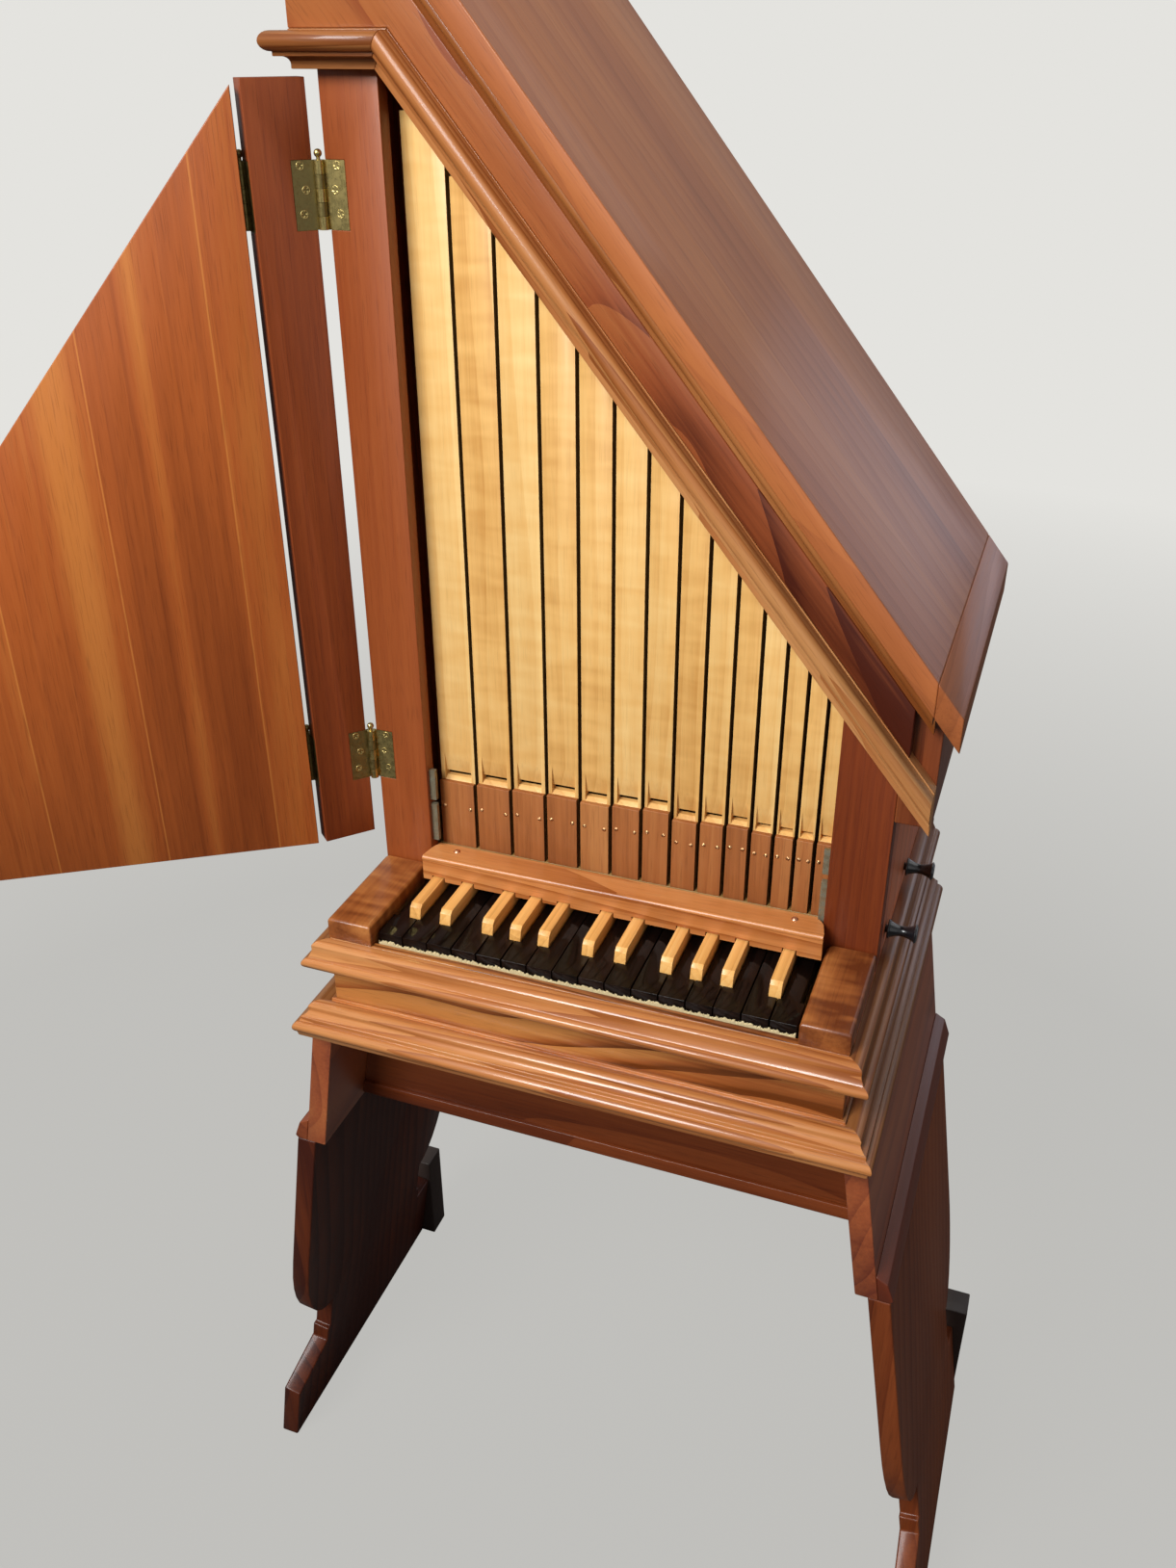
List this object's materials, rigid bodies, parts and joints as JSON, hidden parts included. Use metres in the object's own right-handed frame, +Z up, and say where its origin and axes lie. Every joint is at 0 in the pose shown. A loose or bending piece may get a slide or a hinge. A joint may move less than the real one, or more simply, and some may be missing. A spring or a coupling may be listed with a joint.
{
  "type": "positive pipe organ",
  "caption": "Small keyboard pipe organ with stopped wooden pipes in a case with a steep lean-to roof, on a splayed stand, with a two-leaf door standing open.",
  "frame": {"origin": "on the floor under the middle of the whole in plan, with the door open as it rests; the centre of the case is at x 0.133, y 0.077", "axes": "+X to the player's right, +Y from the player to the back, +Z up"},
  "size_m": [1.0023, 0.5645, 1.676],
  "materials": {
    "case_wood": "satin",
    "back_wood": "matte",
    "post_wood": "satin",
    "moulding_wood": "satin",
    "roof_wood": "satin",
    "pipe_wood": "satin",
    "cap_wood": "satin",
    "chest_wood": "matte",
    "steel": "satin",
    "stand_wood": "satin",
    "heel_paint": "matte",
    "brass": "satin",
    "door_wood": "satin",
    "knob_black": "gloss",
    "natural_black": "satin",
    "sharp_wood": "satin"
  },
  "bodies": {
    "case": {"side_walls": "case_wood", "back_panel": "back_wood", "corner_posts": "post_wood", "upper_sides": "case_wood", "frieze_board": "case_wood", "neck_moulding": "moulding_wood", "crown_moulding": "moulding_wood", "roof_board": "roof_wood", "roof_end_batten": "roof_wood", "front_pipe_bodies": "pipe_wood", "front_pipe_caps": "cap_wood", "rear_pipes": "pipe_wood", "pipe_chest": "chest_wood", "key_cheeks": "cap_wood", "name_rail": "cap_wood", "key_bed": "chest_wood", "key_rod": "steel", "table_fascia": "moulding_wood", "upper_table_moulding": "moulding_wood", "lower_table_moulding": "moulding_wood", "apron_boards": "stand_wood", "bottom_board": "stand_wood", "skirt_panels": "case_wood", "skirt_mouldings": "case_wood", "stand_panels": "stand_wood", "heel_blocks": "heel_paint", "hinge_post_side": "brass"},
    "door_narrow": {"door_leaf_narrow": "door_wood", "hinge_narrow_leaf": "brass"},
    "door_wide": {"door_leaf_wide": "door_wood", "hinge_wide_leaf": "brass"},
    "stop_front": {"stop_knob_front": "knob_black"},
    "stop_rear": {"stop_knob_rear": "knob_black"},
    "key_natural_1": {"key_natural_1": "natural_black"},
    "key_natural_2": {"key_natural_2": "natural_black"},
    "key_natural_3": {"key_natural_3": "natural_black"},
    "key_natural_4": {"key_natural_4": "natural_black"},
    "key_natural_5": {"key_natural_5": "natural_black"},
    "key_natural_6": {"key_natural_6": "natural_black"},
    "key_natural_7": {"key_natural_7": "natural_black"},
    "key_natural_8": {"key_natural_8": "natural_black"},
    "key_natural_9": {"key_natural_9": "natural_black"},
    "key_natural_10": {"key_natural_10": "natural_black"},
    "key_natural_11": {"key_natural_11": "natural_black"},
    "key_natural_12": {"key_natural_12": "natural_black"},
    "key_natural_13": {"key_natural_13": "natural_black"},
    "key_natural_14": {"key_natural_14": "natural_black"},
    "key_natural_15": {"key_natural_15": "natural_black"},
    "key_natural_16": {"key_natural_16": "natural_black"},
    "key_sharp_1": {"key_sharp_1": "sharp_wood"},
    "key_sharp_2": {"key_sharp_2": "sharp_wood"},
    "key_sharp_3": {"key_sharp_3": "sharp_wood"},
    "key_sharp_4": {"key_sharp_4": "sharp_wood"},
    "key_sharp_5": {"key_sharp_5": "sharp_wood"},
    "key_sharp_6": {"key_sharp_6": "sharp_wood"},
    "key_sharp_7": {"key_sharp_7": "sharp_wood"},
    "key_sharp_8": {"key_sharp_8": "sharp_wood"},
    "key_sharp_9": {"key_sharp_9": "sharp_wood"},
    "key_sharp_10": {"key_sharp_10": "sharp_wood"},
    "key_sharp_11": {"key_sharp_11": "sharp_wood"}
  },
  "joints": [
    {"name": "door_post_hinge", "type": "hinge", "parent": "case", "child": "door_narrow", "pos_m": [-0.1035, -0.0165, 1.1], "axis": [0, 0, 1], "range_deg": [-18, 132]},
    {"name": "door_fold_hinge", "type": "hinge", "parent": "door_narrow", "child": "door_wide", "pos_m": [-0.15576, -0.03942, 1.1], "axis": [0, 0, -1], "range_deg": [-15, 110]},
    {"name": "stop_front_slide", "type": "slide", "parent": "case", "child": "stop_front", "axis": [1, 0, 0], "range_m": [0, 0.02]},
    {"name": "stop_rear_slide", "type": "slide", "parent": "case", "child": "stop_rear", "axis": [1, 0, 0], "range_m": [0, 0.02]},
    {"name": "key_natural_1_hinge", "type": "hinge", "parent": "case", "child": "key_natural_1", "pos_m": [0.133, 0.03, 0.737], "axis": [1, 0, 0], "range_deg": [0, 2.6], "stiffness_Nm_per_rad": 1, "springref_deg": -5.73},
    {"name": "key_natural_2_hinge", "type": "hinge", "parent": "case", "child": "key_natural_2", "pos_m": [0.133, 0.03, 0.737], "axis": [1, 0, 0], "range_deg": [0, 2.6], "stiffness_Nm_per_rad": 1, "springref_deg": -5.73},
    {"name": "key_natural_3_hinge", "type": "hinge", "parent": "case", "child": "key_natural_3", "pos_m": [0.133, 0.03, 0.737], "axis": [1, 0, 0], "range_deg": [0, 2.6], "stiffness_Nm_per_rad": 1, "springref_deg": -5.73},
    {"name": "key_natural_4_hinge", "type": "hinge", "parent": "case", "child": "key_natural_4", "pos_m": [0.133, 0.03, 0.737], "axis": [1, 0, 0], "range_deg": [0, 2.6], "stiffness_Nm_per_rad": 1, "springref_deg": -5.73},
    {"name": "key_natural_5_hinge", "type": "hinge", "parent": "case", "child": "key_natural_5", "pos_m": [0.133, 0.03, 0.737], "axis": [1, 0, 0], "range_deg": [0, 2.6], "stiffness_Nm_per_rad": 1, "springref_deg": -5.73},
    {"name": "key_natural_6_hinge", "type": "hinge", "parent": "case", "child": "key_natural_6", "pos_m": [0.133, 0.03, 0.737], "axis": [1, 0, 0], "range_deg": [0, 2.6], "stiffness_Nm_per_rad": 1, "springref_deg": -5.73},
    {"name": "key_natural_7_hinge", "type": "hinge", "parent": "case", "child": "key_natural_7", "pos_m": [0.133, 0.03, 0.737], "axis": [1, 0, 0], "range_deg": [0, 2.6], "stiffness_Nm_per_rad": 1, "springref_deg": -5.73},
    {"name": "key_natural_8_hinge", "type": "hinge", "parent": "case", "child": "key_natural_8", "pos_m": [0.133, 0.03, 0.737], "axis": [1, 0, 0], "range_deg": [0, 2.6], "stiffness_Nm_per_rad": 1, "springref_deg": -5.73},
    {"name": "key_natural_9_hinge", "type": "hinge", "parent": "case", "child": "key_natural_9", "pos_m": [0.133, 0.03, 0.737], "axis": [1, 0, 0], "range_deg": [0, 2.6], "stiffness_Nm_per_rad": 1, "springref_deg": -5.73},
    {"name": "key_natural_10_hinge", "type": "hinge", "parent": "case", "child": "key_natural_10", "pos_m": [0.133, 0.03, 0.737], "axis": [1, 0, 0], "range_deg": [0, 2.6], "stiffness_Nm_per_rad": 1, "springref_deg": -5.73},
    {"name": "key_natural_11_hinge", "type": "hinge", "parent": "case", "child": "key_natural_11", "pos_m": [0.133, 0.03, 0.737], "axis": [1, 0, 0], "range_deg": [0, 2.6], "stiffness_Nm_per_rad": 1, "springref_deg": -5.73},
    {"name": "key_natural_12_hinge", "type": "hinge", "parent": "case", "child": "key_natural_12", "pos_m": [0.133, 0.03, 0.737], "axis": [1, 0, 0], "range_deg": [0, 2.6], "stiffness_Nm_per_rad": 1, "springref_deg": -5.73},
    {"name": "key_natural_13_hinge", "type": "hinge", "parent": "case", "child": "key_natural_13", "pos_m": [0.133, 0.03, 0.737], "axis": [1, 0, 0], "range_deg": [0, 2.6], "stiffness_Nm_per_rad": 1, "springref_deg": -5.73},
    {"name": "key_natural_14_hinge", "type": "hinge", "parent": "case", "child": "key_natural_14", "pos_m": [0.133, 0.03, 0.737], "axis": [1, 0, 0], "range_deg": [0, 2.6], "stiffness_Nm_per_rad": 1, "springref_deg": -5.73},
    {"name": "key_natural_15_hinge", "type": "hinge", "parent": "case", "child": "key_natural_15", "pos_m": [0.133, 0.03, 0.737], "axis": [1, 0, 0], "range_deg": [0, 2.6], "stiffness_Nm_per_rad": 1, "springref_deg": -5.73},
    {"name": "key_natural_16_hinge", "type": "hinge", "parent": "case", "child": "key_natural_16", "pos_m": [0.133, 0.03, 0.737], "axis": [1, 0, 0], "range_deg": [0, 2.6], "stiffness_Nm_per_rad": 1, "springref_deg": -5.73},
    {"name": "key_sharp_1_hinge", "type": "hinge", "parent": "case", "child": "key_sharp_1", "pos_m": [0.133, 0.03, 0.737], "axis": [1, 0, 0], "range_deg": [0, 2.6], "stiffness_Nm_per_rad": 1, "springref_deg": -5.73},
    {"name": "key_sharp_2_hinge", "type": "hinge", "parent": "case", "child": "key_sharp_2", "pos_m": [0.133, 0.03, 0.737], "axis": [1, 0, 0], "range_deg": [0, 2.6], "stiffness_Nm_per_rad": 1, "springref_deg": -5.73},
    {"name": "key_sharp_3_hinge", "type": "hinge", "parent": "case", "child": "key_sharp_3", "pos_m": [0.133, 0.03, 0.737], "axis": [1, 0, 0], "range_deg": [0, 2.6], "stiffness_Nm_per_rad": 1, "springref_deg": -5.73},
    {"name": "key_sharp_4_hinge", "type": "hinge", "parent": "case", "child": "key_sharp_4", "pos_m": [0.133, 0.03, 0.737], "axis": [1, 0, 0], "range_deg": [0, 2.6], "stiffness_Nm_per_rad": 1, "springref_deg": -5.73},
    {"name": "key_sharp_5_hinge", "type": "hinge", "parent": "case", "child": "key_sharp_5", "pos_m": [0.133, 0.03, 0.737], "axis": [1, 0, 0], "range_deg": [0, 2.6], "stiffness_Nm_per_rad": 1, "springref_deg": -5.73},
    {"name": "key_sharp_6_hinge", "type": "hinge", "parent": "case", "child": "key_sharp_6", "pos_m": [0.133, 0.03, 0.737], "axis": [1, 0, 0], "range_deg": [0, 2.6], "stiffness_Nm_per_rad": 1, "springref_deg": -5.73},
    {"name": "key_sharp_7_hinge", "type": "hinge", "parent": "case", "child": "key_sharp_7", "pos_m": [0.133, 0.03, 0.737], "axis": [1, 0, 0], "range_deg": [0, 2.6], "stiffness_Nm_per_rad": 1, "springref_deg": -5.73},
    {"name": "key_sharp_8_hinge", "type": "hinge", "parent": "case", "child": "key_sharp_8", "pos_m": [0.133, 0.03, 0.737], "axis": [1, 0, 0], "range_deg": [0, 2.6], "stiffness_Nm_per_rad": 1, "springref_deg": -5.73},
    {"name": "key_sharp_9_hinge", "type": "hinge", "parent": "case", "child": "key_sharp_9", "pos_m": [0.133, 0.03, 0.737], "axis": [1, 0, 0], "range_deg": [0, 2.6], "stiffness_Nm_per_rad": 1, "springref_deg": -5.73},
    {"name": "key_sharp_10_hinge", "type": "hinge", "parent": "case", "child": "key_sharp_10", "pos_m": [0.133, 0.03, 0.737], "axis": [1, 0, 0], "range_deg": [0, 2.6], "stiffness_Nm_per_rad": 1, "springref_deg": -5.73},
    {"name": "key_sharp_11_hinge", "type": "hinge", "parent": "case", "child": "key_sharp_11", "pos_m": [0.133, 0.03, 0.737], "axis": [1, 0, 0], "range_deg": [0, 2.6], "stiffness_Nm_per_rad": 1, "springref_deg": -5.73}
  ]
}
